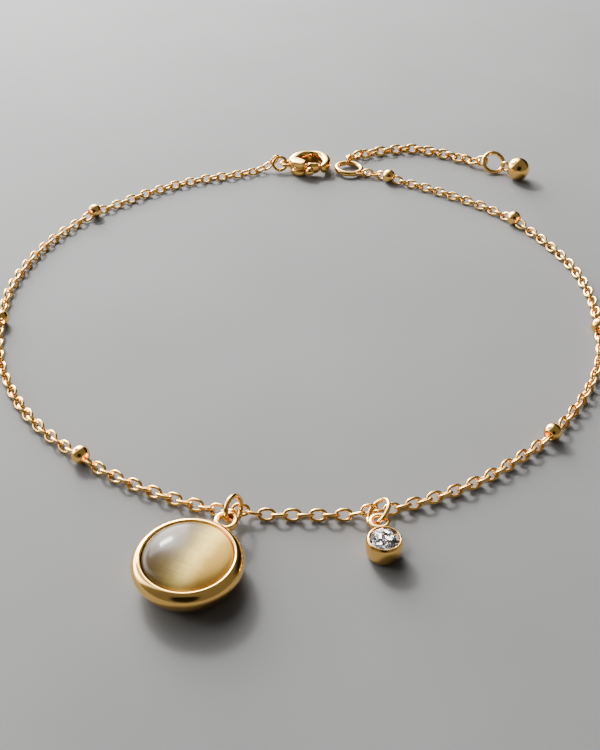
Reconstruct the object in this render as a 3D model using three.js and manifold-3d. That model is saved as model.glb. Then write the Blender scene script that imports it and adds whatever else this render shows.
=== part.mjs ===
// A charm anklet: a fine cable chain with seven satellite beads, a bezel-set cat's-eye cabochon and a small
// bezel-set brilliant, closed by a lobster claw, with a short extender that ends in a ball.
// It lies flat on a surface as a whole loop. Millimetres, +Z up, +Y towards the clasp, origin at the centre of
// the anklet's box, on the surface. The fine chains are plain tubes of the chain's width along its true route.
import * as THREE from "three";
import { ConvexGeometry } from "three/addons/geometries/ConvexGeometry.js";
import { mergeVertices } from "three/addons/utils/BufferGeometryUtils.js";
import Module from "manifold-3d";

const wasm = await Module();
wasm.setup();

// ---- Driving dimensions -------------------------------------------------------------------------------------
const CHAIN_WIDTH = 1.1; // across the lying links
const CHAIN_AXIS = 0.55; // height of the chain's axis where it lies
const CHAIN_STEP = 3.2; // length of one straight piece of a chain tube
const CHAIN_SIDES = 8;
const EXTENDER_WIDTH = 1.6;
const EXTENDER_STEP = 3.2;
const REACH = 2.6; // how far along the chain a bead or a ring still lifts it
const TUBE_GAP = 0.12; // between a chain tube and what it meets
const RING_ROOM = 0.8; // half the length of the link that a ring passes through

const BEAD_RADIUS = 0.95;
const BEAD_LENGTH = 1.55;
const BEAD_HOLE = 0.48;
const BEAD_SIDES = 14;

const PENDANT_CENTRE = new THREE.Vector2(-9.78, -41.37);
const PENDANT_HEIGHT = 3.02;
const CABOCHON_RADIUS = 4.0;
const CABOCHON_SEAT = 1.1;
const CABOCHON_EDGE = 2.74;
const CABOCHON_TOP = 3.95;
const PENDANT_LOOP = { distance: 5.97, angle: 59.2, radius: 0.9, wire: 0.25, height: 0.66, centre: 1.85 };

const CHARM_CENTRE = new THREE.Vector2(7.75, -38.6);
const CHARM_HEIGHT = 2.2;
const BRILLIANT_RADIUS = 1.42;
const BRILLIANT_GIRDLE = 2.0;
const CHARM_LOOP = { distance: 2.56, angle: 96.5, radius: 0.78, wire: 0.22, height: 0.5, centre: 1.62 };

const CLASP_CENTRE = new THREE.Vector3(1.58, 39.2, 1.17);
const CLASP_LENGTH = 6.4; // the claw without its tail eye
const CLASP_WIDTH = 5.2;
const CLASP_THICKNESS = 2.3;
const CLASP_LENS = 3.35; // half the length of the lens that the claw's side view is cut from
const CLASP_WINDOW = { x: 0.4, y: 0.4, length: 3.5, width: 2.7 };
const LEVER_PIVOT = new THREE.Vector2(-1.55, -1.1); // from the clasp's centre
const LEVER_REACH = 3.1; // pivot to the gate's end
const LEVER_HUB = 0.92;
const LEVER_HUB_HEIGHT = 0.9;
const LEVER_GAP = 0.08;
const GATE_HEIGHT = 1.6;
const KNOB_RADIUS = 0.62;
const KNOB_PLACE = -2.58;
const PIN_RADIUS = 0.2;
const PIN_GAP = 0.04;
const TAIL_EYE = { x: -3.58, radius: 0.72, wire: 0.23 };

const DROP_RADIUS = 1.65;
const DROP_EYE = { radius: 0.62, wire: 0.18, distance: 2.2, height: -0.33 }; // from the ball's centre

const GOLD = new THREE.Color(0.83, 0.62, 0.33);
const CHAMPAGNE = new THREE.Color(0.8, 0.7, 0.45);
const CLEAR = new THREE.Color(0.93, 0.94, 0.96);

// The chain's route in plan, from the clasp round the front to the end ring. A row with a name is a bead or a ring
// on the chain, and lift is the height of the chain's axis there.
const CHAIN_ROUTE = [
  { x: -3.7, y: 39.4, name: "clasp_ring", lift: 1.7 },
  { x: -5.1, y: 38.8 },
  { x: -7.3, y: 37.65 },
  { x: -10.7, y: 36.4 },
  { x: -15.0, y: 34.95 },
  { x: -19.4, y: 32.65 },
  { x: -23.9, y: 29.2 },
  { x: -28.62, y: 24.74, name: "bead_1", lift: BEAD_RADIUS },
  { x: -32.5, y: 18.9 },
  { x: -35.0, y: 12.3 },
  { x: -36.15, y: 5.2 },
  { x: -35.65, y: -1.73, name: "bead_2", lift: BEAD_RADIUS },
  { x: -34.5, y: -7.8 },
  { x: -32.0, y: -14.1 },
  { x: -28.0, y: -20.3 },
  { x: -22.02, y: -26.02, name: "bead_3", lift: BEAD_RADIUS },
  { x: -18.0, y: -28.9 },
  { x: -13.7, y: -31.2 },
  { x: -9.4, y: -32.95 },
  { x: -5.5, y: -33.85, name: "pendant_ring", lift: 1.0 },
  { x: -2.4, y: -34.05 },
  { x: 0.85, y: -34.1 },
  { x: 3.8, y: -34.1 },
  { x: 6.7, y: -33.85, name: "charm_ring", lift: 0.9 },
  { x: 11.4, y: -32.45 },
  { x: 17.7, y: -29.45 },
  { x: 23.0, y: -25.5 },
  { x: 26.27, y: -22.56, name: "bead_4", lift: BEAD_RADIUS },
  { x: 29.8, y: -18.0 },
  { x: 32.3, y: -13.9 },
  { x: 34.6, y: -8.2 },
  { x: 35.48, y: -3.4, name: "bead_5", lift: BEAD_RADIUS },
  { x: 36.1, y: 3.0 },
  { x: 35.4, y: 10.1 },
  { x: 33.2, y: 16.4 },
  { x: 29.74, y: 22.73, name: "bead_6", lift: BEAD_RADIUS },
  { x: 25.4, y: 27.4 },
  { x: 20.3, y: 31.3 },
  { x: 16.6, y: 33.7 },
  { x: 13.31, y: 35.48, name: "bead_7", lift: BEAD_RADIUS },
  { x: 11.5, y: 36.75 },
  { x: 9.2, y: 37.15, name: "end_ring", lift: 0.62 },
];

const EXTENDER_ROUTE = [
  { x: 7.65, y: 41.35, name: "end_ring", lift: 0.95 },
  { x: 8.1, y: 42.4 },
  { x: 9.7, y: 43.4 },
  { x: 11.9, y: 44.3 },
  { x: 14.3, y: 45.0 },
  { x: 17.0, y: 45.4 },
  { x: 19.5, y: 44.95 },
  { x: 21.9, y: 43.8 },
  { x: 24.2, y: 42.45 },
  { x: 26.1, y: 41.1 },
  { x: 27.7, y: 40.0, name: "extender_end_ring", lift: 1.2 },
];

// ---- Rings. axis is the direction that a ring's opening faces. ------------------------------------------------
const RINGS = [
  {
    name: "clasp_jump_ring",
    centre: [-2.91, 39.11, 1.18],
    axis: [0.034, -0.798, 0.602],
    radius: 1.0,
    wire: 0.23,
  },
  {
    name: "pendant_jump_ring",
    centre: [-6.1, -34.78, 1.95],
    axis: [0.865, -0.443, 0.236],
    radius: 1.29,
    wire: 0.25,
  },
  {
    name: "charm_jump_ring",
    centre: [7.44, -34.67, 1.52],
    axis: [-0.73, 0.054, 0.682],
    radius: 1.37,
    wire: 0.22,
  },
];
const END_RING = {
  name: "end_ring",
  centre: [7.5, 38.75, 0.56],
  axis: [0.06, 0, 0.998],
  radius: 1.85,
  wire: 0.38,
};
const EXTENDER_END_RING = {
  name: "extender_end_ring",
  centre: [29.34, 39.23, 1.32],
  axis: [0.108, -0.639, 0.761],
  radius: 1.54,
  wire: 0.3,
};
const DROP_CENTRE = new THREE.Vector3(32.55, 36.4, DROP_RADIUS);

// ---- Small helpers --------------------------------------------------------------------------------------------
function metal() {
  return new THREE.MeshStandardMaterial({ color: GOLD, roughness: 0.16, metalness: 1 });
}

function catEye() {
  return new THREE.MeshStandardMaterial({ color: CHAMPAGNE, roughness: 0.12, metalness: 0 });
}

function clearStone() {
  return new THREE.MeshStandardMaterial({ color: CLEAR, roughness: 0.03, metalness: 0 });
}

function node(name, geometry, material) {
  const mesh = new THREE.Mesh(geometry, material);
  mesh.name = name;
  return mesh;
}

// A closed mesh as a solid that can be joined and cut.
function solid(geometry) {
  const bare = geometry.clone();
  bare.deleteAttribute("normal");
  bare.deleteAttribute("uv");
  const merged = mergeVertices(bare, 1e-4);
  const vertProperties = new Float32Array(merged.attributes.position.array);
  const triVerts = new Uint32Array(merged.index.array);
  return new wasm.Manifold(new wasm.Mesh({ numProp: 3, vertProperties, triVerts }));
}

function geometryOf(manifold) {
  const mesh = manifold.getMesh();
  const geometry = new THREE.BufferGeometry();
  geometry.setAttribute("position", new THREE.BufferAttribute(new Float32Array(mesh.vertProperties), 3));
  geometry.setIndex(new THREE.BufferAttribute(new Uint32Array(mesh.triVerts), 1));
  geometry.computeVertexNormals();
  return geometry;
}

// A turned piece, its axis up. Rows of [radius, height] run up the outside and down the inside.
function turned(rows, segments) {
  const points = rows.map(([radius, height]) => new THREE.Vector2(radius, height));
  return new THREE.LatheGeometry(points, segments).rotateX(Math.PI / 2);
}

function arcRows(centre, radius, fromDegrees, toDegrees, count) {
  return Array.from({ length: count + 1 }, (_, i) => {
    const angle = THREE.MathUtils.degToRad(fromDegrees + ((toDegrees - fromDegrees) * i) / count);
    return [centre[0] + radius * Math.cos(angle), centre[1] + radius * Math.sin(angle)];
  });
}

function upright(radius, height, segments) {
  return new THREE.CylinderGeometry(radius, radius, height, segments).rotateX(Math.PI / 2);
}

// ---- Chain ----------------------------------------------------------------------------------------------------
// A route is measured along its plan, and each named row lifts the axis near it.
class Route {
  constructor(rows, rest) {
    this.rows = rows;
    this.rest = rest;
    this.plan = new THREE.CatmullRomCurve3(rows.map((row) => new THREE.Vector3(row.x, row.y, 0)));
    this.plan.arcLengthDivisions = 60 * rows.length;
    this.lengths = this.plan.getLengths();
    this.length = this.lengths.at(-1);
  }

  distanceTo(name) {
    const row = this.rows.findIndex((entry) => entry.name === name);
    return this.lengths[Math.round((row / (this.rows.length - 1)) * (this.lengths.length - 1))];
  }

  lift(distance) {
    return this.rows
      .filter((row) => row.name)
      .reduce((height, row) => {
        const near = Math.max(0, 1 - Math.abs(distance - this.distanceTo(row.name)) / REACH);
        return height + (row.lift - this.rest) * near * near;
      }, this.rest);
  }

  point(distance) {
    const place = this.plan.getPointAt(THREE.MathUtils.clamp(distance / this.length, 0, 1));
    return place.setZ(this.lift(distance));
  }

  direction(distance) {
    return this.plan.getTangentAt(THREE.MathUtils.clamp(distance / this.length, 0, 1));
  }
}

function chainTube(route, from, to, width, step) {
  const steps = Math.max(2, Math.round((to - from) / step));
  const points = Array.from({ length: steps + 1 }, (_, i) => route.point(from + ((to - from) * i) / steps));
  const corners = Array.from({ length: CHAIN_SIDES }, (_, i) => {
    const angle = (2 * Math.PI * i) / CHAIN_SIDES;
    return new THREE.Vector2((width / 2) * Math.cos(angle), (width / 2) * Math.sin(angle));
  });
  return new THREE.ExtrudeGeometry(new THREE.Shape(corners), {
    steps,
    bevelEnabled: false,
    extrudePath: new THREE.CatmullRomCurve3(points),
  });
}

// How far the chain tube stops short of the middle of a bead, or of a ring's wire.
function clearance(name) {
  return (name.startsWith("bead") ? BEAD_LENGTH / 2 : RING_ROOM) + TUBE_GAP;
}

function chain(route) {
  const stops = route.rows.filter((row) => row.name).map((row) => row.name);
  return stops.slice(1).map((stop, i) => {
    const from = route.distanceTo(stops[i]) + clearance(stops[i]);
    const to = route.distanceTo(stop) - clearance(stop);
    return node(`chain_${i + 1}`, chainTube(route, from, to, CHAIN_WIDTH, CHAIN_STEP), metal());
  });
}

function extenderChain(route) {
  const from = 0.55;
  const to = route.length - 0.55;
  return node("extender_chain", chainTube(route, from, to, EXTENDER_WIDTH, EXTENDER_STEP), metal());
}

function bead(route, name) {
  const half = BEAD_LENGTH / 2;
  const start = THREE.MathUtils.radToDeg(Math.asin(half / BEAD_RADIUS));
  const outside = arcRows([0, 0], BEAD_RADIUS, -start, start, 6);
  const rows = [[BEAD_HOLE, -half], ...outside, [BEAD_HOLE, half], [BEAD_HOLE, -half]];
  const mesh = node(name, geometryOf(solid(turned(rows, BEAD_SIDES))), metal());
  const distance = route.distanceTo(name);
  mesh.position.copy(route.point(distance));
  mesh.quaternion.setFromUnitVectors(new THREE.Vector3(0, 0, 1), route.direction(distance));
  return mesh;
}

// ---- Rings ----------------------------------------------------------------------------------------------------
function ring({ name, centre, axis, radius, wire }) {
  const mesh = node(name, new THREE.TorusGeometry(radius, wire, 8, 22), metal());
  const facing = new THREE.Vector3(...axis).normalize();
  mesh.position.set(...centre);
  mesh.quaternion.setFromUnitVectors(new THREE.Vector3(0, 0, 1), facing);
  return mesh;
}

// ---- Settings -------------------------------------------------------------------------------------------------
// A soldered loop: a ring with a rounded oblong section, its hole upright.
function solderedLoop({ radius, wire, height }, segments) {
  const half = height / 2;
  const rows = [
    [radius - wire, -half + wire],
    [radius - wire / 2, -half],
    [radius + wire / 2, -half],
    [radius + wire, -half + wire],
    [radius + wire, half - wire],
    [radius + wire / 2, half],
    [radius - wire / 2, half],
    [radius - wire, half - wire],
    [radius - wire, -half + wire],
  ];
  return turned(rows, segments);
}

function withLoop(cup, centre, loop, segments) {
  const angle = THREE.MathUtils.degToRad(loop.angle);
  const ears = solderedLoop(loop, segments);
  ears.translate(
    centre.x + loop.distance * Math.cos(angle),
    centre.y + loop.distance * Math.sin(angle),
    loop.centre,
  );
  cup.translate(centre.x, centre.y, 0);
  return geometryOf(solid(cup).add(solid(ears)));
}

function pendantBezel() {
  const rows = [
    [0, 0],
    [3.65, 0],
    [4.2, 0.36],
    [4.66, 0.95],
    [4.95, 1.55],
    [5.05, 2.0],
    [5.0, 2.36],
    [4.84, 2.66],
    [4.6, 2.9],
    [4.32, PENDANT_HEIGHT],
    [4.14, 2.92],
    [4.1, CABOCHON_SEAT - 0.1],
    [0, CABOCHON_SEAT - 0.1],
  ];
  return node("pendant_bezel", withLoop(turned(rows, 44), PENDANT_CENTRE, PENDANT_LOOP, 20), metal());
}

function pendantStone() {
  const rise = CABOCHON_TOP - CABOCHON_EDGE;
  const dome = (CABOCHON_RADIUS ** 2 + rise ** 2) / (2 * rise);
  const reach = THREE.MathUtils.radToDeg(Math.asin(CABOCHON_RADIUS / dome));
  const rows = [
    [0, CABOCHON_SEAT],
    [CABOCHON_RADIUS - 0.15, CABOCHON_SEAT],
    [CABOCHON_RADIUS, CABOCHON_SEAT + 0.15],
    ...arcRows([0, CABOCHON_TOP - dome], dome, 90 - reach, 90, 6).slice(0, -1),
    [0, CABOCHON_TOP],
  ];
  const mesh = node("pendant_stone", turned(rows, 40), catEye());
  mesh.position.set(PENDANT_CENTRE.x, PENDANT_CENTRE.y, 0);
  return mesh;
}

function charmBezel() {
  const rows = [
    [0, 0],
    [1.2, 0],
    [1.5, 0.22],
    [1.66, 0.62],
    [1.72, 1.15],
    [1.7, 1.7],
    [1.64, 2.05],
    [1.54, CHARM_HEIGHT],
    [1.42, CHARM_HEIGHT],
    [1.38, 2.14],
    [1.5, 2.06],
    [1.5, 1.9],
    [1.3, 1.65],
    [1.3, 0.7],
    [0.9, 0.35],
    [0, 0.35],
  ];
  return node("charm_bezel", withLoop(turned(rows, 30), CHARM_CENTRE, CHARM_LOOP, 16), metal());
}

// A round brilliant: the hull of its table, star, girdle and pavilion corners.
function charmStone() {
  const corners = [];
  const addRing = (share, height, count, turn) => {
    for (let i = 0; i < count; i += 1) {
      const angle = (2 * Math.PI * (i + turn)) / count;
      const radius = BRILLIANT_RADIUS * share;
      corners.push(new THREE.Vector3(radius * Math.cos(angle), radius * Math.sin(angle), height));
    }
  };
  addRing(0.56, 0.44, 8, 0);
  addRing(0.78, 0.29, 8, 0.5);
  addRing(1.0, 0.03, 16, 0);
  addRing(1.0, -0.03, 16, 0);
  addRing(0.28, -0.93, 8, 0.5);
  corners.push(new THREE.Vector3(0, 0, -1.2));
  const mesh = node("charm_stone", new ConvexGeometry(corners), clearStone());
  mesh.position.set(CHARM_CENTRE.x, CHARM_CENTRE.y, BRILLIANT_GIRDLE);
  return mesh;
}

// ---- Clasp ----------------------------------------------------------------------------------------------------
// An upright prism with rounded rims: the plan drawn inset by the rim, then bulged back to its full size.
function pillow(plan, thickness, rim) {
  return new THREE.ExtrudeGeometry(plan, {
    depth: thickness - 2 * rim,
    curveSegments: 20,
    bevelEnabled: true,
    bevelThickness: rim,
    bevelSize: rim,
    bevelOffset: -rim,
    bevelSegments: 3,
  }).translate(0, 0, rim - thickness / 2);
}

function claspOutline() {
  const plan = new THREE.Shape();
  plan.absellipse(0, 0, CLASP_LENGTH / 2, CLASP_WIDTH / 2, 0, 2 * Math.PI);
  return plan;
}

// The claw seen from its side: a lens, thinner at the tail and at the hook.
function claspSide() {
  const side = new THREE.Shape();
  side.absellipse(0, 0, CLASP_LENS, CLASP_THICKNESS / 2, 0, 2 * Math.PI);
  const lens = new THREE.ExtrudeGeometry(side, { depth: 6, curveSegments: 12, bevelEnabled: false });
  return lens.translate(0, 0, -3).rotateX(Math.PI / 2);
}

function claspWindow() {
  const { x, y, length, width } = CLASP_WINDOW;
  const plan = new THREE.Shape();
  plan.absellipse(x, y, length / 2, width / 2, 0, 2 * Math.PI);
  return new THREE.ExtrudeGeometry(plan, { depth: 6, curveSegments: 14, bevelEnabled: false }).translate(0, 0, -3);
}

// The space that the gate sweeps: from the closed gate inwards, as far as its end reaches from the pivot.
function gateWay() {
  const reach = LEVER_REACH + LEVER_GAP;
  const plan = new THREE.Shape();
  plan.moveTo(LEVER_PIVOT.x + 0.4, -4);
  plan.lineTo(LEVER_PIVOT.x + reach * Math.cos(0.9), -4);
  plan.lineTo(LEVER_PIVOT.x + reach * Math.cos(0.42), LEVER_PIVOT.y - reach * Math.sin(0.42));
  plan.absarc(LEVER_PIVOT.x, LEVER_PIVOT.y, reach, -0.42, 0.34, false);
  plan.lineTo(LEVER_PIVOT.x + 0.4, LEVER_PIVOT.y + 0.8);
  return new THREE.ExtrudeGeometry(plan, { depth: 6, curveSegments: 4, bevelEnabled: false }).translate(0, 0, -3);
}

function claspBody() {
  const hubSlot = upright(LEVER_HUB + 0.2, LEVER_HUB_HEIGHT + 2 * LEVER_GAP, 20);
  hubSlot.translate(LEVER_PIVOT.x, LEVER_PIVOT.y, 0);
  const pinHole = upright(PIN_RADIUS + PIN_GAP, 6, 12).translate(LEVER_PIVOT.x, LEVER_PIVOT.y, 0);
  const eye = new THREE.TorusGeometry(TAIL_EYE.radius, TAIL_EYE.wire, 8, 16).translate(TAIL_EYE.x, 0, 0);
  const body = solid(pillow(claspOutline(), CLASP_THICKNESS, 0.7))
    .intersect(solid(claspSide()))
    .add(solid(eye))
    .subtract(solid(claspWindow()))
    .subtract(solid(gateWay()))
    .subtract(solid(hubSlot))
    .subtract(solid(pinHole));
  const mesh = node("clasp_body", geometryOf(body), metal());
  mesh.position.copy(CLASP_CENTRE);
  return mesh;
}

// The tall part of the gate, clear of the cheeks that hold its hub.
function gatePad(tip) {
  const plan = new THREE.Shape();
  plan.moveTo(-0.42, -1.96);
  plan.lineTo(0.1, -2.12);
  plan.lineTo(0.8, -2.1);
  plan.lineTo(tip - 0.3, -1.84);
  plan.lineTo(tip - 0.06, -1.36);
  plan.lineTo(tip - 0.32, -1.0);
  plan.lineTo(0.53, -1.18);
  plan.lineTo(-0.42, -1.18);
  return plan;
}

// The gate: an arm from the hub to the claw's tip, with a round thumb knob on its outside.
function claspLever() {
  const { x, y } = LEVER_PIVOT;
  const tip = x + LEVER_REACH;
  const plan = new THREE.Shape();
  plan.moveTo(x + 0.2, y - 0.6);
  plan.lineTo(0.0, -2.02);
  plan.lineTo(0.8, -2.06);
  plan.lineTo(tip - 0.3, -1.8);
  plan.lineTo(tip - 0.05, -1.28);
  plan.lineTo(tip - 0.32, -0.95);
  plan.lineTo(0.53, -1.16);
  plan.lineTo(x + 0.96, -0.97);
  plan.lineTo(x + 0.7, y + 0.2);
  plan.lineTo(x + 0.2, y + 0.2);
  const arm = new THREE.ExtrudeGeometry(plan, { depth: LEVER_HUB_HEIGHT, bevelEnabled: false });
  arm.translate(0, 0, -LEVER_HUB_HEIGHT / 2);
  const pad = pillow(gatePad(tip), GATE_HEIGHT, 0.2);
  const hub = upright(LEVER_HUB, LEVER_HUB_HEIGHT, 20).translate(x, y, 0);
  const hole = upright(PIN_RADIUS + PIN_GAP, 6, 12).translate(x, y, 0);
  const knob = new THREE.SphereGeometry(KNOB_RADIUS, 14, 8).translate(0, KNOB_PLACE, 0);
  const lever = solid(arm).add(solid(hub)).subtract(solid(hole)).add(solid(pad)).add(solid(knob));
  const mesh = node("clasp_lever", geometryOf(lever), metal());
  mesh.position.copy(CLASP_CENTRE);
  return mesh;
}

function claspPin() {
  const mesh = node("clasp_pin", upright(PIN_RADIUS, CLASP_THICKNESS - 0.1, 12), metal());
  mesh.position.set(CLASP_CENTRE.x + LEVER_PIVOT.x, CLASP_CENTRE.y + LEVER_PIVOT.y, CLASP_CENTRE.z);
  return mesh;
}

// ---- End drop -------------------------------------------------------------------------------------------------
// A ball with a small eye that stands on it towards the extender's end ring.
function endDrop() {
  const towards = new THREE.Vector3(...EXTENDER_END_RING.centre).sub(DROP_CENTRE).setZ(0).normalize();
  const ball = new THREE.SphereGeometry(DROP_RADIUS, 20, 12).rotateX(Math.PI / 2);
  const eye = new THREE.TorusGeometry(DROP_EYE.radius, DROP_EYE.wire, 8, 14).rotateX(Math.PI / 2);
  eye.rotateZ(Math.atan2(towards.y, towards.x));
  eye.translate(towards.x * DROP_EYE.distance, towards.y * DROP_EYE.distance, DROP_EYE.height);
  const mesh = node("end_drop", geometryOf(solid(ball).add(solid(eye))), metal());
  mesh.position.copy(DROP_CENTRE);
  return mesh;
}

// ---- Assembly -------------------------------------------------------------------------------------------------
const chainRoute = new Route(CHAIN_ROUTE, CHAIN_AXIS);
const extenderRoute = new Route(EXTENDER_ROUTE, EXTENDER_WIDTH / 2);
const beadNames = CHAIN_ROUTE.map((row) => row.name).filter((name) => name?.startsWith("bead"));

const anklet = new THREE.Group();
anklet.add(...chain(chainRoute));
anklet.add(...beadNames.map((name) => bead(chainRoute, name)));
anklet.add(...RINGS.map(ring));
anklet.add(ring(END_RING), ring(EXTENDER_END_RING));
anklet.add(pendantBezel(), pendantStone());
anklet.add(charmBezel(), charmStone());
anklet.add(claspBody(), claspLever(), claspPin());
anklet.add(extenderChain(extenderRoute));
anklet.add(endDrop());

export default anklet;
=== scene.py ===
# The looks of a gold charm anklet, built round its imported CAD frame. Sizes are in millimetres, and MM turns
# them into Blender's metres. +Z is up, +Y points to the clasp, and the origin is under the anklet's middle.
import math
import random
from typing import NamedTuple

import bmesh
import bpy
import numpy as np
from mathutils import Matrix, Vector


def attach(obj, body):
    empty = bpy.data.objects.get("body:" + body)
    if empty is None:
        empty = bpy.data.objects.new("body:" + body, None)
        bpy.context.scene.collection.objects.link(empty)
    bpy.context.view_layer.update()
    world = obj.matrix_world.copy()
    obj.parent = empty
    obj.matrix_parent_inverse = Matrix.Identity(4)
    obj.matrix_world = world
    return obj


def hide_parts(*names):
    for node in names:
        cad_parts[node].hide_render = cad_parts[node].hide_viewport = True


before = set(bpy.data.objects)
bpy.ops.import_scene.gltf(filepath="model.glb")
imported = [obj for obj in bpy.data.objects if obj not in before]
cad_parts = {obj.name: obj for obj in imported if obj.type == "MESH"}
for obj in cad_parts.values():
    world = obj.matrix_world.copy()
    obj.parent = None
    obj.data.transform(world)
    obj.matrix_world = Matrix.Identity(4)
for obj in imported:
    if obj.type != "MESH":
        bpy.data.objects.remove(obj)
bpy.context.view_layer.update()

MM = 0.001
TAU = 2 * math.pi
dice = random.Random(7)

# ---- Camera, floor and lights --------------------------------------------------------------------
CAMERA_PLACE = (0.1, -102.8, 70.24)
CAMERA_PITCH = 37.62  # degrees below the horizon
CAMERA_LENS = 49.11
SENSOR_WIDTH = 36
# The bright side of the surround: which way, how near to it the light starts and is full, and its strengths.
SURROUND = {"towards": (-0.6, 0.7, 0.4), "span": (0.6, 0.98), "strength": (0.19, 17.0)}
SURROUND_TINT = (1.0, 0.99, 0.97)
DARKNESS = [  # dim places in the surround: which way, and how near to it the dimness starts and is full
    ((-0.05, -0.86, 0.5), 0.88, 0.95),
    ((0.7, 0.68, 0.12), 0.75, 0.93),
    ((-0.6, 0.45, 0.66), 0.88, 0.96),
]
DARKNESS_SHARE = 0.08  # what is left of the surround in a dim place
WINDOW = {  # its brightness, and the planes that bound it, each with where its edge starts and ends
    "strength": 19.0,
    "edges": [
        ((0.06, 0.73, -0.68), -0.02, 0.03),
        ((-0.99, -0.11, -0.02), -0.005, 0.02),
        ((0.66, 0.27, 0.7), 0.02, 0.09),
    ],
}
LAMP = {"place": (-126, 228, 199), "target": (-9.8, -41, 0), "size": (58, 36), "power": 1.6}
FLOOR_SIZE = 4000
FLOOR_PAINTED_FALLOFF = (0.235, 0.13)  # painted light falloff in the floor's colour: towards the window and away from it

# ---- Chains --------------------------------------------------------------------------------------
CHAIN_AXIS = 0.515  # height of the axis where the chain lies
EXTENDER_AXIS = 0.62
LINK = {"length": 1.85, "width": 1.32, "wire": 0.31, "slack": 1.225}
EXTENDER_LINK = {"length": 2.15, "width": 1.66, "wire": 0.4, "slack": 1.4}
LINK_TURN = 45  # degrees that every other link leans to each side of the chain
LINK_WOBBLE = 5  # degrees that each lean is off by at most
LINK_POWER = 2.25  # how square a link is, where 2 is an ellipse
LINK_ENTRY = 0.3  # how far a link's end goes into a bead
FLOOR_GAP = 0.01  # between the lowest links and the floor
LIFT_REACH = 2.6  # how far along the chain a named row still lifts it
TWIST_REACH = 7.0  # and still twists it
ROUTE_STEPS = 40  # between two rows
ROUTE_PROBE = 0.3  # how far each way a chain's direction is taken over

BEAD = {"radius": 0.95, "length": 1.55, "hole": 0.47, "lip": 0.05}

# ---- Settings ------------------------------------------------------------------------------------
PENDANT_CENTRE = (-9.78, -41.37)
PENDANT_LOOP = {
    "distance": 5.97,
    "angle": 59.2,
    "radius": 0.9,
    "wire": 0.25,
    "height": 0.66,
    "centre": 1.85,
}
CHARM_CENTRE = (7.75, -38.6)
CHARM_LOOP = {
    "distance": 2.56,
    "angle": 96.5,
    "radius": 0.78,
    "wire": 0.22,
    "height": 0.5,
    "centre": 1.62,
}
LOOP_POWER = 3.2  # how square a soldered loop's section is
CABOCHON = {"radius": 4.06, "seat": 1.1, "bevel": 0.2, "edge": 2.62, "top": 3.95, "power": 2.25}
BRILLIANT = {"radius": 1.42, "girdle": 2.0, "culet": -1.22}  # the culet is below the girdle
SEAM_SHARE = 0.86  # how thick a jump ring's wire is at its seam

# ---- Clasp and end ball --------------------------------------------------------------------------
CLASP_CENTRE = (1.58, 39.2, 1.17)
LEVER_PIVOT = (-1.55, -1.1)  # from the clasp's centre, as are the next three
TAIL_EYE = {"x": -3.58, "radius": 0.72, "wire": 0.23}
KNOB = {"centre": (0, -2.64, 0), "radius": 0.64}
CHEEK_HEIGHT = 0.66  # of each cheek's middle, above and below
CHEEK_POWER = 4.5  # how square a cheek's section is
ARM_POWER = 2.6
DROP = {"centre": (32.55, 36.4, 1.65), "radius": 1.65}
DROP_EYE = {"radius": 0.62, "wire": 0.18, "distance": 2.2, "height": -0.33}


class Row(NamedTuple):
    """A point that a chain's axis passes in plan. A named row is a bead or a ring, lift is the axis's height
    there, and turn is how far the links are twisted there, in degrees."""

    x: float
    y: float
    name: str = ""
    lift: float = 0.0
    turn: float = 0.0


CHAIN_ROUTE = [
    Row(-3.7, 39.4, "clasp_ring", 1.7, -30),
    Row(-5.1, 38.8),
    Row(-7.3, 37.65),
    Row(-10.7, 36.4),
    Row(-15.0, 34.95),
    Row(-19.4, 32.65),
    Row(-23.9, 29.2),
    Row(-28.62, 24.74, "bead_1", 0.95),
    Row(-32.5, 18.9),
    Row(-35.0, 12.3),
    Row(-36.15, 5.2),
    Row(-35.65, -1.73, "bead_2", 0.95),
    Row(-34.5, -7.8),
    Row(-32.0, -14.1),
    Row(-28.0, -20.3),
    Row(-22.02, -26.02, "bead_3", 0.95),
    Row(-18.0, -28.9),
    Row(-13.7, -31.2),
    Row(-9.4, -32.95),
    Row(-5.5, -33.85, "pendant_ring", 1.0),
    Row(-2.4, -34.05),
    Row(0.85, -34.1),
    Row(3.8, -34.1),
    Row(6.7, -33.85, "charm_ring", 0.9),
    Row(11.4, -32.45),
    Row(17.7, -29.45),
    Row(23.0, -25.5),
    Row(26.27, -22.56, "bead_4", 0.95),
    Row(29.8, -18.0),
    Row(32.3, -13.9),
    Row(34.6, -8.2),
    Row(35.48, -3.4, "bead_5", 0.95),
    Row(36.1, 3.0),
    Row(35.4, 10.1),
    Row(33.2, 16.4),
    Row(29.74, 22.73, "bead_6", 0.95),
    Row(25.4, 27.4),
    Row(20.3, 31.3),
    Row(16.6, 33.7),
    Row(13.31, 35.48, "bead_7", 0.95),
    Row(11.5, 36.75),
    Row(9.2, 37.15, "end_ring", 0.62, 45),
]
EXTENDER_ROUTE = [
    Row(7.65, 41.1, "end_ring", 0.95, 45),
    Row(8.1, 42.4),
    Row(9.7, 43.4),
    Row(11.9, 44.3),
    Row(14.3, 45.0),
    Row(17.0, 45.4),
    Row(19.5, 44.95),
    Row(21.9, 43.8),
    Row(24.2, 42.45),
    Row(26.1, 41.1),
    Row(27.7, 40.0, "extender_end_ring", 1.2, 45),
]


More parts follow.
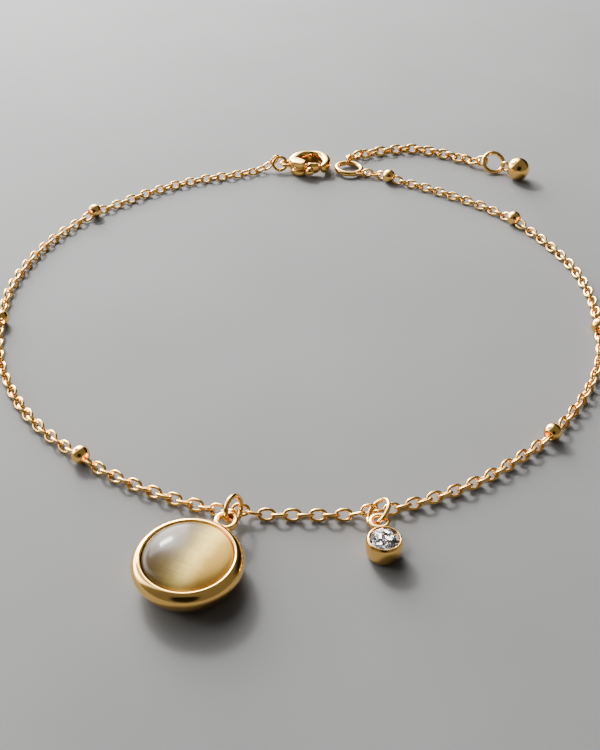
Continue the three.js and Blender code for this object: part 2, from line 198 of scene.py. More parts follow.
class Route:
    """A chain's axis: a centripetal Catmull-Rom curve in plan, measured along its length and lifted near its
    named rows."""

    def __init__(self, rows, rest):
        self.rows = rows
        self.rest = rest
        knots = [np.array((row.x, row.y)) for row in rows]
        knots = [2 * knots[0] - knots[1], *knots, 2 * knots[-1] - knots[-2]]
        spans = range(len(rows) - 1)
        plan = [self.between(*knots[i : i + 4], k / ROUTE_STEPS) for i in spans for k in range(ROUTE_STEPS)]
        self.plan = np.array([*plan, knots[-2]])
        steps = np.linalg.norm(np.diff(self.plan, axis=0), axis=1)
        self.lengths = np.concatenate(([0.0], np.cumsum(steps)))
        self.named = {row.name: self.lengths[i * ROUTE_STEPS] for i, row in enumerate(rows) if row.name}

    @staticmethod
    def between(before, start, end, after, share):
        """The point at that share of the curve from start to end."""
        pairs = ((before, start), (start, end), (end, after))
        first, middle, last = (np.linalg.norm(b - a) ** 0.5 for a, b in pairs)
        leave = (start - before) / first - (end - before) / (first + middle) + (end - start) / middle
        arrive = (end - start) / middle - (after - start) / (middle + last) + (after - end) / last
        bend = 2 * (start - end) + (leave + arrive) * middle
        turn = 3 * (end - start) - (2 * leave + arrive) * middle
        return start + share * (leave * middle + share * (turn + share * bend))

    def near(self, distance, reach):
        """Each named row with how near it is, from 1 at the row to 0 at reach."""
        rows = (row for row in self.rows if row.name)
        return [(row, max(0.0, 1 - abs(distance - self.named[row.name]) / reach)) for row in rows]

    def point(self, distance):
        x, y = (np.interp(distance, self.lengths, self.plan[:, axis]) for axis in (0, 1))
        lift = sum((row.lift - self.rest) * share**2 for row, share in self.near(distance, LIFT_REACH))
        return Vector((x, y, self.rest + lift))

    def direction(self, distance):
        ahead = min(distance + ROUTE_PROBE, self.lengths[-1])
        behind = max(distance - ROUTE_PROBE, 0.0)
        return (self.point(ahead) - self.point(behind)).normalized()

    def twist(self, distance):
        return sum(row.turn * share for row, share in self.near(distance, TWIST_REACH))


# ---- Meshes --------------------------------------------------------------------------------------
class Build:
    """Vertices and faces of one piece, in millimetres."""

    def __init__(self):
        self.verts = []
        self.faces = []

    def add(self, verts, faces, matrix=None):
        base = len(self.verts)
        self.verts += [matrix @ v for v in verts] if matrix else list(verts)
        self.faces += [tuple(base + i for i in face) for face in faces]
        return self

    def piece(
        self,
        name,
        material,
        body="anklet",
        slot="polished_gold",
        replaces=(),
        origin=(0, 0, 0),
        smooth=True,
    ):
        """An object made of what was built, riding its body in place of the CAD nodes that it replaces."""
        start = Vector(origin)
        mesh = bpy.data.meshes.new(name)
        mesh.from_pydata([(Vector(v) - start) * MM for v in self.verts], [], self.faces)
        mesh.validate()
        mesh.polygons.foreach_set("use_smooth", [smooth] * len(mesh.polygons))
        mesh.materials.append(material)
        mesh.update()
        piece = bpy.data.objects.new(name, mesh)
        piece.location = start * MM
        bpy.context.scene.collection.objects.link(piece)
        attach(piece, body)
        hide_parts(*replaces)
        return piece


def grid_faces(rows, columns, wrap_rows=True, wrap_columns=True):
    """Quads over a grid of vertices numbered row by row."""
    faces = []
    for i in range(rows if wrap_rows else rows - 1):
        for j in range(columns if wrap_columns else columns - 1):
            k, n = (i + 1) % rows, (j + 1) % columns
            faces.append((i * columns + j, k * columns + j, k * columns + n, i * columns + n))
    return faces


def sweep(centres, frames, sections, closed):
    """A skin over sections, each a list of (side, up) offsets carried by its frame of two unit vectors."""
    verts = []
    for centre, (side, up), section in zip(centres, frames, sections):
        verts += [centre + side * a + up * b for a, b in section]
    count = len(sections[0])
    faces = grid_faces(len(centres), count, wrap_rows=closed)
    if not closed:
        last = (len(centres) - 1) * count
        faces.append(tuple(range(count)))
        faces.append(tuple(last + i for i in reversed(range(count))))
    return verts, faces


def circle(radius, sides):
    return [(radius * math.cos(TAU * i / sides), radius * math.sin(TAU * i / sides)) for i in range(sides)]


def superoval(width, height, power, sides):
    """An oval that is squarer than an ellipse where power is over 2."""
    points = []
    for i in range(sides):
        c, s = math.cos(TAU * i / sides), math.sin(TAU * i / sides)
        points.append(
            (
                width * math.copysign(abs(c) ** (2 / power), c),
                height * math.copysign(abs(s) ** (2 / power), s),
            )
        )
    return points


def loop_of_wire(outline, wire_at, sides):
    """Closed wire along a flat outline in the XY plane. wire_at gives its radius at each step."""
    centres = [Vector((x, y, 0)) for x, y in outline]
    count = len(centres)
    frames, sections = [], []
    for i, centre in enumerate(centres):
        along = (centres[(i + 1) % count] - centres[i - 1]).normalized()
        frames.append((Vector((along.y, -along.x, 0)), Vector((0, 0, 1))))
        sections.append(circle(wire_at(i / count), sides))
    return sweep(centres, frames, sections, closed=True)


def lathe(rows, segments, closed=False):
    """A turned surface about Z. Rows of (radius, height) run up the outside. An end at radius 0 is closed to
    a point."""
    verts, rings = [], []
    for radius, height in rows:
        if radius < 1e-6:
            rings.append([len(verts)])
            verts.append(Vector((0, 0, height)))
            continue
        rings.append(list(range(len(verts), len(verts) + segments)))
        verts += [
            Vector((radius * math.cos(TAU * j / segments), radius * math.sin(TAU * j / segments), height))
            for j in range(segments)
        ]
    faces = []
    pairs = list(zip(rings, rings[1:]))
    if closed:
        pairs.append((rings[-1], rings[0]))
    for low, high in pairs:
        for j in range(segments):
            k = (j + 1) % segments
            if len(low) == 1:
                faces.append((low[0], high[k], high[j]))
            elif len(high) == 1:
                faces.append((low[j], low[k], high[0]))
            else:
                faces.append((low[j], low[k], high[k], high[j]))
    return verts, faces


def smooth_rows(rows, steps):
    """A smooth line through the rows, with the rows themselves kept."""
    knots = [np.array(row, float) for row in rows]
    knots = [2 * knots[0] - knots[1], *knots, 2 * knots[-1] - knots[-2]]
    spans = range(len(rows) - 1)
    line = [Route.between(*knots[i : i + 4], k / steps) for i in spans for k in range(steps)]
    return [tuple(point) for point in [*line, knots[-2]]]


def arc(centre, radius, start, end, count):
    angles = [math.radians(start + (end - start) * i / count) for i in range(count + 1)]
    return [(centre[0] + radius * math.cos(a), centre[1] + radius * math.sin(a)) for a in angles]


def frame_at(place, x_axis, z_axis):
    """The matrix that puts a thing at place, its X along x_axis and its Z as near z_axis as it can be."""
    x = Vector(x_axis).normalized()
    z = Vector(z_axis)
    z = (z - x * z.dot(x)).normalized()
    y = z.cross(x)
    turned = Matrix((x, y, z)).transposed().to_4x4()
    return Matrix.Translation(place) @ turned


# ---- Materials -----------------------------------------------------------------------------------
class Nodes:
    """A short way to write a material's node tree."""

    def __init__(self, name):
        self.material = bpy.data.materials.new(name)
        self.material.use_nodes = True
        self.tree = self.material.node_tree
        self.shader = self.tree.nodes["Principled BSDF"]
        self.place = self.add("ShaderNodeTexCoord").outputs["Object"]

    def add(self, kind, **settings):
        made = self.tree.nodes.new(kind)
        for key, value in settings.items():
            setattr(made, key, value)
        return made

    def link(self, source, target):
        self.tree.links.new(source, target)

    def noise(self, scale, detail=3.0, place=None, stretch=None):
        """Noise with features of that many millimetres, drawn out along X, Y and Z by stretch."""
        made = self.add("ShaderNodeTexNoise")
        made.inputs["Scale"].default_value = 1 / (scale * MM)
        made.inputs["Detail"].default_value = detail
        source = place or self.place
        if stretch:
            mapping = self.add("ShaderNodeMapping")
            mapping.inputs["Scale"].default_value = [1 / s for s in stretch]
            self.link(source, mapping.inputs["Vector"])
            source = mapping.outputs["Vector"]
        self.link(source, made.inputs["Vector"])
        return made.outputs["Fac"]

    def spread(self, source, low, high, to_low, to_high):
        made = self.add("ShaderNodeMapRange")
        for key, value in (("From Min", low), ("From Max", high), ("To Min", to_low), ("To Max", to_high)):
            made.inputs[key].default_value = value
        self.link(source, made.inputs["Value"])
        return made.outputs["Result"]

    def maths(self, operation, first, second):
        made = self.add("ShaderNodeMath", operation=operation)
        for socket, value in zip(made.inputs, (first, second)):
            if isinstance(value, (int, float)):
                socket.default_value = value
            else:
                self.link(value, socket)
        return made.outputs[0]

    def vectors(self, operation, *values):
        made = self.add("ShaderNodeVectorMath", operation=operation)
        for socket, value in zip(made.inputs, values):
            if isinstance(value, tuple):
                socket.default_value = value
            else:
                self.link(value, socket)
        return made.outputs["Vector"]

    def ramp(self, source, stops):
        made = self.add("ShaderNodeValToRGB")
        ramp = made.color_ramp
        while len(ramp.elements) < len(stops):
            ramp.elements.new(0.5)
        for element, (place, colour) in zip(ramp.elements, stops):
            element.position = place
            element.color = (*colour, 1)
        self.link(source, made.inputs["Fac"])
        return made.outputs["Color"]

    def bump(self, source, height, after=None):
        """Relief of that many millimetres, over the relief given as after."""
        made = self.add("ShaderNodeBump")
        made.inputs["Strength"].default_value = 1.0
        made.inputs["Distance"].default_value = height * MM
        self.link(source, made.inputs["Height"])
        if after:
            self.link(after, made.inputs["Normal"])
        return made.outputs["Normal"]

    def set(self, **values):
        for key, value in values.items():
            socket = self.shader.inputs[key.replace("_", " ")]
            if isinstance(value, bpy.types.NodeSocket):
                self.link(value, socket)
            else:
                socket.default_value = value


def gold(name, shine, deep, bright, mottle):
    """Plated gold: a tint that drifts a little, faint rubbing marks, and a polish that isn't quite even."""
    nodes = Nodes(name)
    drift = nodes.noise(mottle, 2.0)
    tint = nodes.ramp(drift, [(0.3, deep), (0.7, bright)])
    rubbed = nodes.noise(0.22, 4.0, stretch=(1.0, 3.0, 1.0))
    polish = nodes.spread(rubbed, 0.35, 0.75, shine, shine + 0.09)
    waves = nodes.bump(nodes.noise(0.9, 2.0), 0.004)
    marks = nodes.bump(rubbed, 0.0006, after=waves)
    nodes.set(Base_Color=tint, Metallic=1.0, Roughness=polish, Normal=marks)
    return nodes.material


POLISHED = gold("polished_gold", 0.1, (0.9, 0.52, 0.155), (1.0, 0.615, 0.16), 1.8)
CHAIN_GOLD = gold("chain_gold", 0.13, (0.84, 0.485, 0.145), (0.98, 0.605, 0.16), 0.7)


def cats_eye():
    """Champagne cat's-eye: a broad cream band over olive and honey, with fine fibres lying across the band.
    The cream band is the stone's chatoyant sheen painted into the colour. The olive side is partly its own
    colour and partly painted shade, and the honey side is partly a painted glow of light passing through the
    stone.
    Its colours follow the place across the stone, moved a little by the fibres. Places here are in metres."""
    nodes = Nodes("cats_eye")
    across, along = Vector((0.908, -0.419, 0)), Vector((0.419, 0.908, 0))
    wander = nodes.noise(2.6, 2.0)
    places = []
    for direction in (across, along):
        dot = nodes.add("ShaderNodeVectorMath", operation="DOT_PRODUCT")
        dot.inputs[1].default_value = direction
        nodes.link(nodes.place, dot.inputs[0])
        places.append(dot.outputs["Value"])
    fibres = nodes.add("ShaderNodeCombineXYZ")
    nodes.link(nodes.maths("MULTIPLY", places[0], 0.05), fibres.inputs["X"])
    nodes.link(places[1], fibres.inputs["Y"])
    strands = nodes.noise(0.13, 3.0, place=fibres.outputs["Vector"])
    cloud = nodes.noise(1.1, 3.0, place=fibres.outputs["Vector"])
    fine = nodes.maths("MULTIPLY", strands, 0.7 * MM)
    broad = nodes.maths("MULTIPLY", cloud, 0.9 * MM)
    shift = nodes.maths("ADD", fine, broad)
    shift = nodes.maths("ADD", shift, nodes.maths("MULTIPLY", wander, 0.6 * MM))
    band = nodes.maths("ADD", places[0], nodes.maths("ADD", shift, -1.1 * MM))
    share = nodes.spread(band, -4 * MM, 4 * MM, 0.0, 1.0)
    # painted light in these stops: the cream middle is a painted sheen, the dark olive stops partly painted
    # shade, the honey stops partly a painted glow
    stops = [
        (0.1, (0.04, 0.024, 0.008)),
        (0.25, (0.05, 0.032, 0.01)),
        (0.375, (0.09, 0.06, 0.018)),
        (0.45, (0.15, 0.105, 0.032)),
        (0.525, (0.32, 0.23, 0.07)),
        (0.6, (0.68, 0.49, 0.14)),
        (0.675, (1.0, 0.72, 0.2)),
        (0.75, (0.95, 0.64, 0.17)),
        (0.825, (0.74, 0.44, 0.095)),
        (0.9, (0.76, 0.45, 0.095)),
        (0.97, (0.84, 0.52, 0.12)),
    ]
    tint = nodes.ramp(share, stops)
    nodes.set(Base_Color=tint, Roughness=0.3, IOR=1.5, Coat_Weight=0.2, Coat_Roughness=0.11, Coat_IOR=1.5)
    nodes.set(Specular_IOR_Level=0.05)
    return nodes.material


def clear_stone():
    """A clear, strongly refracting stone, its facets broken into small bright and grey glints:
    painted glints and painted dark reflections in the colour, over normals tilted cell by cell.
    """
    nodes = Nodes("clear_stone")
    cells = nodes.add("ShaderNodeTexVoronoi")
    cells.inputs["Scale"].default_value = 1 / (0.26 * MM)
    nodes.link(nodes.place, cells.inputs["Vector"])
    # painted glints and painted dark reflections: each cell's colour runs from dark grey to white
    stops = [(0.25, (0.12, 0.1, 0.15)), (0.38, (0.7, 0.68, 0.78)), (0.5, (1, 1, 1))]
    tint = nodes.ramp(cells.outputs["Color"], stops)
    tilt = nodes.vectors("MULTIPLY_ADD", cells.outputs["Color"], (1.0, 1.0, 1.0), (-0.5, -0.5, -0.5))
    facing = nodes.vectors("ADD", nodes.add("ShaderNodeNewGeometry").outputs["Normal"], tilt)
    glint = nodes.vectors("NORMALIZE", facing)
    nodes.set(Base_Color=tint, Roughness=0.0, IOR=2.35, Transmission_Weight=0.94, Normal=glint)
    return nodes.material


def floor_paint():
    """A pale grey floor with faint clouds and a painted light falloff: a little darker away from the window.
    """
    nodes = Nodes("floor_paint")
    cloud = nodes.spread(nodes.noise(26.0, 3.0), 0.3, 0.7, -0.008, 0.008)
    away = nodes.add("ShaderNodeVectorMath", operation="DOT_PRODUCT")
    away.inputs[1].default_value = Vector((0.7, -0.71, 0))
    nodes.link(nodes.place, away.inputs[0])
    # painted light falloff: lighter towards the window, darker away from it, plus faint clouds
    shade = nodes.maths("ADD", nodes.spread(away.outputs["Value"], -0.11, 0.07, *FLOOR_PAINTED_FALLOFF), cloud)
    nodes.set(Base_Color=shade, Roughness=0.85, Specular_IOR_Level=0.2)
    return nodes.material


# ---- Chains and beads ----------------------------------------------------------------------------
def link_shape(size, steps=30, sides=10):
    half_length = (size["length"] - size["wire"]) / 2
    half_width = (size["width"] - size["wire"]) / 2
    outline = superoval(half_length, half_width, LINK_POWER, steps)
    return loop_of_wire(outline, lambda share: size["wire"] / 2, sides)


def add_link(build, shape, route, distance, turn):
    """A link centred on the route, leaning by turn degrees from lying flat, and kept off the floor."""
    along = route.direction(distance)
    side = Vector((0, 0, 1)).cross(along).normalized()
    up = along.cross(side)
    lean = math.radians(turn + route.twist(distance) + dice.uniform(-LINK_WOBBLE, LINK_WOBBLE))
    normal = up * math.cos(lean) + side * math.sin(lean)
    place = frame_at(route.point(distance), along, normal)
    lowest = min((place @ Vector(vert)).z for vert in shape[0])
    build.add(*shape, Matrix.Translation((0, 0, max(0, FLOOR_GAP - lowest))) @ place)


def chain_piece(name, route, stops, size, turns, replaces, both_ends=False):
    """The links from one stop to the next. turns are the leans of the first and last link.
    A link on the last stop is part of this piece, and one on the first is too where both_ends is set."""
    starts = [route.named[stop] for stop in stops]
    inset = BEAD["length"] / 2 - LINK_ENTRY + size["length"] / 2
    at_bead = [stop.startswith("bead") for stop in stops]
    first = starts[0] + (inset if at_bead[0] else 0)
    last = starts[1] - (inset if at_bead[1] else 0)
    count = math.ceil((last - first) / size["slack"])
    if count % 2 != (turns[0] != turns[1]):
        count += 1
    shape = link_shape(size)
    build = Build()
    for i in range(0 if at_bead[0] or both_ends else 1, count + 1):
        distance = first + (last - first) * i / count
        add_link(build, shape, route, distance, turns[0] if i % 2 == 0 else -turns[0])
    return build.piece(name, CHAIN_GOLD, slot="chain_gold", replaces=replaces)


def bead_piece(name, route):
    """A satellite bead: a ball cut off at both ends, with a rounded lip round its hole and a short way in."""
    half, lip, hole = BEAD["length"] / 2, BEAD["lip"], BEAD["hole"]
    start = math.degrees(math.asin((half - lip / 2) / BEAD["radius"]))
    outside = arc((0, 0), BEAD["radius"], -start, start, 22)
    top = arc((hole + lip, half - lip), lip, 60, 180, 4)
    inside = [(hole, half - 2 * lip - 0.2 * i) for i in range(1, 3)]
    bottom = [(radius, -height) for radius, height in reversed(top + inside)]
    verts, faces = lathe(outside + top + inside + bottom, 44, closed=True)
    distance = route.named[name]
    along = route.direction(distance)
    place = route.point(distance)
    turned = Matrix.Translation(place) @ along.to_track_quat("Z", "Y").to_matrix().to_4x4()
    build = Build().add(verts, faces, turned)
    return build.piece(f"satellite_{name}", POLISHED, replaces=[name], origin=place)


# ---- Rings ---------------------------------------------------------------------------------------
class Measured(NamedTuple):
    centre: Vector
    axis: Vector
    radius: float
    wire: float


def measured_ring(node):
    """A CAD ring's centre, axis, radius and wire radius in millimetres, from its own mesh."""
    corners = {tuple(round(c / MM, 4) for c in vertex.co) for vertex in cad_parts[node].data.vertices}
    points = np.array(sorted(corners))
    centre = points.mean(axis=0)
    _, _, axes = np.linalg.svd(points - centre)
    axis = axes[2]
    high = (points - centre) @ axis
    flat = points - centre - np.outer(high, axis)
    reach = np.linalg.norm(flat, axis=1)
    wire = (high.max() - high.min()) / 2
    return Measured(Vector(centre), Vector(axis), (reach.max() + reach.min()) / 2, wire)


def ring_piece(name, node, seam=None, steps=72, sides=16):
    """A round wire ring in place of a CAD ring. seam is the place in degrees of a jump ring's closed cut."""
    ring = measured_ring(node)
    outline = circle(ring.radius, steps)
    step = TAU / steps

    def wire_at(share):
        if seam is None:
            return ring.wire
        gap = (share * TAU - math.radians(seam) + math.pi) % TAU - math.pi
        return ring.wire * (SEAM_SHARE if abs(gap) < step / 2 else 1.0)

    axis = ring.axis if ring.axis.z > 0 else -ring.axis
    across = Vector((1, 0, 0)) if abs(axis.x) < 0.9 else Vector((0, 1, 0))
    across = (across - axis * across.dot(axis)).normalized()
    build = Build().add(*loop_of_wire(outline, wire_at, sides), frame_at(ring.centre, across, axis))
    return build.piece(name, POLISHED, replaces=[node], origin=ring.centre)


# ---- Settings ------------------------------------------------------------------------------------
def solder_loop(centre, loop, segments=56):
    """An upright-holed loop with a rounded oblong section, soldered to its setting's wall."""
    half = loop["height"] / 2
    section = superoval(loop["wire"], half, LOOP_POWER, 20)
    rows = [(loop["radius"] + a, b) for a, b in section]
    verts, faces = lathe(rows, segments, closed=True)
    angle = math.radians(loop["angle"])
    x = centre[0] + loop["distance"] * math.cos(angle)
    y = centre[1] + loop["distance"] * math.sin(angle)
    return verts, faces, Matrix.Translation((x, y, loop["centre"]))


def setting_piece(name, node, centre, rows, loop, segments):
    """A turned cup with its soldered loop."""
    build = Build().add(*lathe(rows, segments), Matrix.Translation((*centre, 0)))
    build.add(*solder_loop(centre, loop))
    return build.piece(name, POLISHED, replaces=[node], origin=(*centre, 0))


def pendant_bezel():
    """The cup: a flat back, a wall that bulges at mid height, a rounded rim and the seat inside."""
    base = [(0, 0), (3.2, 0), (3.55, 0.02)]
    side = [
        (3.65, 0.04),
        (4.2, 0.36),
        (4.66, 0.95),
        (4.95, 1.55),
        (5.05, 2.0),
        (5.0, 2.34),
        (4.86, 2.62),
        (4.64, 2.86),
        (4.42, 2.99),
        (4.28, 3.02),
        (4.17, 2.97),
        (4.11, 2.82),
    ]
    seat = [(4.08, 2.6), (4.08, 1.02), (4.0, 1.0), (0, 1.0)]
    rows = base + smooth_rows(side, 5) + seat
    return setting_piece("pendant_setting", "pendant_bezel", PENDANT_CENTRE, rows, PENDANT_LOOP, 128)


def pendant_stone(steps=28):
    """The cabochon: a flat back, a straight edge and a low dome of that many steps."""
    size = CABOCHON
    rise = size["top"] - size["edge"]
    radius, seat, bevel = size["radius"], size["seat"], size["bevel"]
    rows = [(0, seat), (radius - bevel, seat), (radius, seat + bevel)]
    for i in range(steps + 1):
        angle = math.pi / 2 * i / steps
        reach = radius * math.cos(angle) ** (2 / size["power"])
        height = size["edge"] + rise * math.sin(angle) ** (2 / size["power"])
        rows.append((reach if i < steps else 0, height))
    build = Build().add(*lathe(rows, 96), Matrix.Translation((*PENDANT_CENTRE, 0)))
    slots = {"slot": "cats_eye", "replaces": ["pendant_stone"], "origin": (*PENDANT_CENTRE, size["edge"])}
    return build.piece("cats_eye_cabochon", cats_eye(), **slots)


def charm_bezel():
    """The small cup: a rounded foot, a steep wall, a rounded rim and the seat inside."""
    side = [
        (1.2, 0.0),
        (1.44, 0.12),
        (1.6, 0.42),
        (1.69, 0.9),
        (1.72, 1.4),
        (1.71, 1.7),
        (1.67, 1.9),
        (1.6, 2.06),
        (1.52, 2.17),
        (1.45, 2.2),
        (1.41, 2.14),
    ]
    seat = [(1.46, 2.0), (1.46, 1.92), (1.3, 1.6), (1.3, 0.7), (0.9, 0.35), (0, 0.35)]
    rows = [(0, 0), (1.1, 0)] + smooth_rows(side, 5) + seat
    return setting_piece("charm_setting", "charm_bezel", CHARM_CENTRE, rows, CHARM_LOOP, 96)


def charm_stone():
    """A round brilliant: table, stars, kites, halves, a thin girdle and the pavilion, each facet flat."""
    rings = [  # share of the radius, height, corners and turn in steps
        (0.54, 0.45, 8, 0.0),
        (0.79, 0.27, 8, 0.5),
        (1.0, 0.03, 16, 0.0),
        (1.0, -0.03, 16, 0.0),
        (0.3, -0.93, 8, 0.5),
    ]
    cut = bpy.data.meshes.new("cut")
    corners = [(0, 0, BRILLIANT["culet"])]
    for share, height, count, turn in rings:
        for i in range(count):
            angle = TAU * (i + turn) / count
            radius = share * BRILLIANT["radius"]
            corners.append((radius * math.cos(angle), radius * math.sin(angle), height))
    cut.from_pydata(corners, [], [])
    hull = bmesh.new()
    hull.from_mesh(cut)
    bmesh.ops.convex_hull(hull, input=hull.verts)
    bmesh.ops.dissolve_limit(hull, angle_limit=0.01, verts=hull.verts, edges=hull.edges)
    hull.verts.index_update()
    place = Vector((*CHARM_CENTRE, BRILLIANT["girdle"]))
    verts = [place + v.co for v in hull.verts]
    faces = [[v.index for v in face.verts] for face in hull.faces]
    hull.free()
    build = Build().add(verts, faces)
    slots = {"slot": "clear_stone", "replaces": ["charm_stone"], "origin": place, "smooth": False}
    return build.piece("charm_brilliant", clear_stone(), **slots)


# ---- Clasp ---------------------------------------------------------------------------------------
def limb(stations, sides=20, power=2.4, per_span=8):
    """A rounded bar along rows of (x, y, half width, half thickness), with rounded ends."""
    line = smooth_rows(stations, per_span)
    centres = [Vector((row[0], row[1], 0)) for row in line]
    frames, sections = [], []
    for i, row in enumerate(line):
        ahead = centres[min(i + 1, len(line) - 1)]
        behind = centres[max(i - 1, 0)]
        along = (ahead - behind).normalized()
        frames.append((Vector((along.y, -along.x, 0)), Vector((0, 0, 1))))
        sections.append(superoval(row[2], row[3], power, sides))
    return sweep(centres, frames, sections, closed=False)


def ball(radius, steps=20, segments=36):
    angles = (math.pi * (i / steps - 0.5) for i in range(steps + 1))
    rows = [(radius * math.cos(angle), radius * math.sin(angle)) for angle in angles]
    rows[0], rows[-1] = (0, -radius), (0, radius)
    return lathe(rows, segments)


def both_ways(rows):
    """The rows of (radius, height) of a turned thing's upper half, with their mirror image below."""
    return [(radius, -height) for radius, height in reversed(rows)] + rows


def at_pivot():
    return Matrix.Translation(Vector(CLASP_CENTRE) + Vector((*LEVER_PIVOT, 0)))


def clasp_body():
    """The claw: a thick back that runs from the tail round the nose to the hook, two cheeks that hold the
    gate, and the tail's eye."""
    back = [
        (-2.3, -1.0, 0.4, 0.6),
        (-2.62, -0.1, 0.7, 0.86),
        (-2.12, 0.95, 0.92, 1.02),
        (-1.2, 1.82, 0.62, 1.08),
        (0.15, 2.2, 0.34, 1.0),
        (1.5, 1.8, 0.56, 1.06),
        (2.28, 0.92, 0.78, 0.98),
        (2.5, -0.1, 0.74, 0.86),
        (2.36, -0.98, 0.6, 0.84),
        (2.06, -1.5, 0.44, 0.76),
        (1.76, -1.76, 0.3, 0.6),
        (1.64, -1.82, 0.1, 0.3),
    ]
    cheek = [
        (-2.62, 0.5, 0.3, 0.2),
        (-2.3, -0.4, 0.74, 0.4),
        (-1.85, -1.05, 0.9, 0.46),
        (-1.25, -1.5, 0.8, 0.46),
        (-0.85, -1.72, 0.6, 0.44),
        (-0.62, -1.84, 0.3, 0.3),
    ]
    build = Build()
    place = Matrix.Translation(CLASP_CENTRE)
    build.add(*limb(back), place)
    for side in (-1, 1):
        lifted = Matrix.Translation((0, 0, side * CHEEK_HEIGHT))
        build.add(*limb(cheek, power=CHEEK_POWER), place @ lifted)
    eye = loop_of_wire(circle(TAIL_EYE["radius"], 40), lambda share: TAIL_EYE["wire"], 14)
    build.add(*eye, place @ Matrix.Translation((TAIL_EYE["x"], 0, 0)))
    return build.piece("clasp_claw", POLISHED, replaces=["clasp_body"], origin=CLASP_CENTRE)


def clasp_lever():
    """The gate: a flat hub, an arm that closes on the hook, and a round thumb knob."""
    x, y = LEVER_PIVOT
    arm = [
        (x, y, 0.36, 0.15),
        (x + 0.5, y - 0.38, 0.46, 0.15),
        (x + 0.95, y - 0.58, 0.5, 0.17),
        (x + 1.35, y - 0.62, 0.5, 0.86),
        (x + 2.05, y - 0.54, 0.46, 0.84),
        (x + 2.7, y - 0.38, 0.4, 0.74),
        (x + 3.0, y - 0.3, 0.2, 0.5),
    ]
    build = Build()
    place = Matrix.Translation(CLASP_CENTRE)
    build.add(*limb(arm, power=ARM_POWER), place)
    build.add(*lathe(both_ways([(0.91, 0.1), (0.89, 0.14), (0.84, 0.16), (0, 0.16)]), 32), at_pivot())
    build.add(*ball(KNOB["radius"]), place @ Matrix.Translation(KNOB["centre"]))
    return build.piece("clasp_gate", POLISHED, body="lever", replaces=["clasp_lever"], origin=CLASP_CENTRE)


def clasp_pin():
    """The rivet through the cheeks, with low domed heads."""
    rows = both_ways([(0.2, 1.0), (0.19, 1.08), (0.12, 1.14), (0, 1.15)])
    return Build().add(*lathe(rows, 24), at_pivot()).piece("clasp_rivet", POLISHED, replaces=["clasp_pin"])


def end_drop():
    """The ball at the extender's end, with its eye."""
    centre = Vector(DROP["centre"])
    ring = measured_ring("extender_end_ring")
    towards = ring.centre - centre
    towards.z = 0
    towards.normalize()
    build = Build()
    build.add(*ball(DROP["radius"], steps=40, segments=72), Matrix.Translation(centre))
    eye = loop_of_wire(circle(DROP_EYE["radius"], 40), lambda share: DROP_EYE["wire"], 14)
    at = centre + towards * DROP_EYE["distance"] + Vector((0, 0, DROP_EYE["height"]))
    build.add(*eye, frame_at(at, towards, towards.cross(Vector((0, 0, 1)))))
    return build.piece("end_ball", POLISHED, replaces=["end_drop"], origin=centre)


# ---- Studio --------------------------------------------------------------------------------------
def camera():
    data = bpy.data.cameras.new("camera")
    data.lens = CAMERA_LENS
    data.sensor_width = SENSOR_WIDTH
    data.clip_start, data.clip_end = 0.001, 20
    view = bpy.data.objects.new("camera", data)
    view.location = Vector(CAMERA_PLACE) * MM
    view.rotation_euler = (math.radians(90 - CAMERA_PITCH), 0, 0)
    bpy.context.scene.collection.objects.link(view)
    bpy.context.scene.camera = view


def floor():
    half = FLOOR_SIZE / 2 * MM
    mesh = bpy.data.meshes.new("floor")
    corners = [(-half, -half, 0), (half, -half, 0), (half, half, 0), (-half, half, 0)]
    mesh.from_pydata(corners, [], [(0, 1, 2, 3)])
    mesh.materials.append(floor_paint())
    plane = bpy.data.objects.new("floor", mesh)
    bpy.context.scene.collection.objects.link(plane)


def lamp():
    """A small soft light that makes the shadows and the bright spot on the cabochon."""
    data = bpy.data.lights.new("lamp", "AREA")
    data.shape = "RECTANGLE"
    data.size, data.size_y = LAMP["size"][0] * MM, LAMP["size"][1] * MM
    data.energy = LAMP["power"]
    light = bpy.data.objects.new("lamp", data)
    light.location = Vector(LAMP["place"]) * MM
    aim = Vector(LAMP["target"]) - Vector(LAMP["place"])
    light.rotation_euler = aim.to_track_quat("-Z", "Y").to_euler()
    bpy.context.scene.collection.objects.link(light)


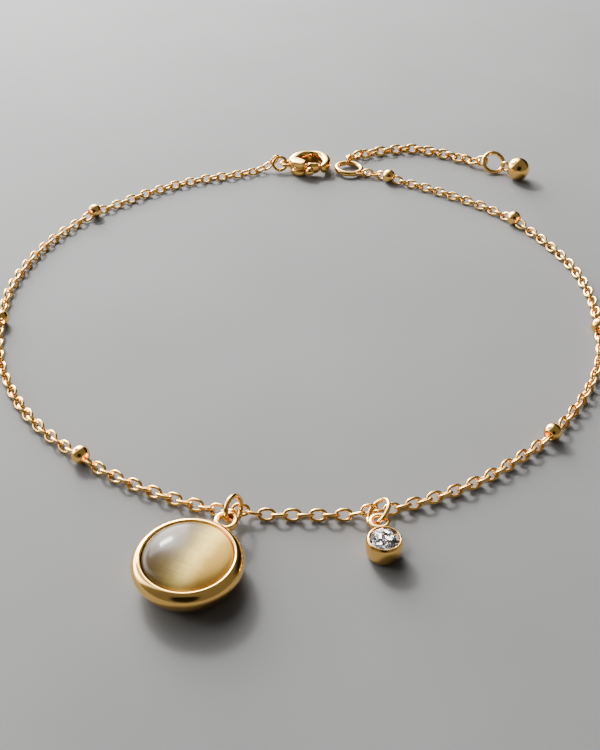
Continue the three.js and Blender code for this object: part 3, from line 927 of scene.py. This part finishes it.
def studio():
    """A surround that is bright behind on the left and dim elsewhere, with dimmer places in it, and a window
    there that three planes bound."""
    world = bpy.data.worlds.new("studio")
    bpy.context.scene.world = world
    world.use_nodes = True
    nodes = world.node_tree.nodes
    links = world.node_tree.links
    way = nodes.new("ShaderNodeTexCoord").outputs["Generated"]

    def share(direction, low, high, to_low=0.0, to_high=1.0):
        """How far the way looked at is along the direction, as a soft step from low to high."""
        dot = nodes.new("ShaderNodeVectorMath")
        dot.operation = "DOT_PRODUCT"
        dot.inputs[1].default_value = Vector(direction).normalized()
        links.new(way, dot.inputs[0])
        step = nodes.new("ShaderNodeMapRange")
        step.interpolation_type = "SMOOTHSTEP"
        for key, value in (("From Min", low), ("From Max", high), ("To Min", to_low), ("To Max", to_high)):
            step.inputs[key].default_value = value
        links.new(dot.outputs["Value"], step.inputs["Value"])
        return step.outputs["Result"]

    def combined(operation, first, second):
        made = nodes.new("ShaderNodeMath")
        made.operation = operation
        links.new(first, made.inputs[0])
        links.new(second, made.inputs[1])
        return made.outputs[0]

    surround = share(SURROUND["towards"], *SURROUND["span"], *SURROUND["strength"])
    for direction, low, high in DARKNESS:
        surround = combined("MULTIPLY", surround, share(direction, low, high, 1.0, DARKNESS_SHARE))
    first, *others = WINDOW["edges"]
    window = share(*first, 0.0, WINDOW["strength"])
    for direction, low, high in others:
        window = combined("MULTIPLY", window, share(direction, low, high))
    back = nodes["Background"]
    back.inputs["Color"].default_value = (*SURROUND_TINT, 1)
    links.new(combined("ADD", surround, window), back.inputs["Strength"])


# ---- The anklet ----------------------------------------------------------------------------------
chain_route = Route(CHAIN_ROUTE, CHAIN_AXIS)
extender_route = Route(EXTENDER_ROUTE, EXTENDER_AXIS)
stops = [row.name for row in CHAIN_ROUTE if row.name]
camera()

for number, pair in enumerate(zip(stops, stops[1:]), start=1):
    leans = [LINK_TURN if stop.startswith("bead") else -LINK_TURN for stop in pair]
    node = f"chain_{number}"
    chain_piece(f"links_{number}", chain_route, pair, LINK, leans, [node], both_ends=number == 1)
chain_piece(
    "extender_links",
    extender_route,
    ("end_ring", "extender_end_ring"),
    EXTENDER_LINK,
    (LINK_TURN, LINK_TURN),
    ["extender_chain"],
    both_ends=True,
)
for stop in stops:
    if stop.startswith("bead"):
        bead_piece(stop, chain_route)
ring_piece("clasp_link_ring", "clasp_jump_ring", seam=70)
ring_piece("pendant_link_ring", "pendant_jump_ring", seam=200)
ring_piece("charm_link_ring", "charm_jump_ring", seam=200)
ring_piece("chain_end_ring", "end_ring")
ring_piece("extender_outer_ring", "extender_end_ring")
pendant_bezel()
pendant_stone()
charm_bezel()
charm_stone()
clasp_body()
clasp_lever()
clasp_pin()
end_drop()

floor()
studio()
lamp()
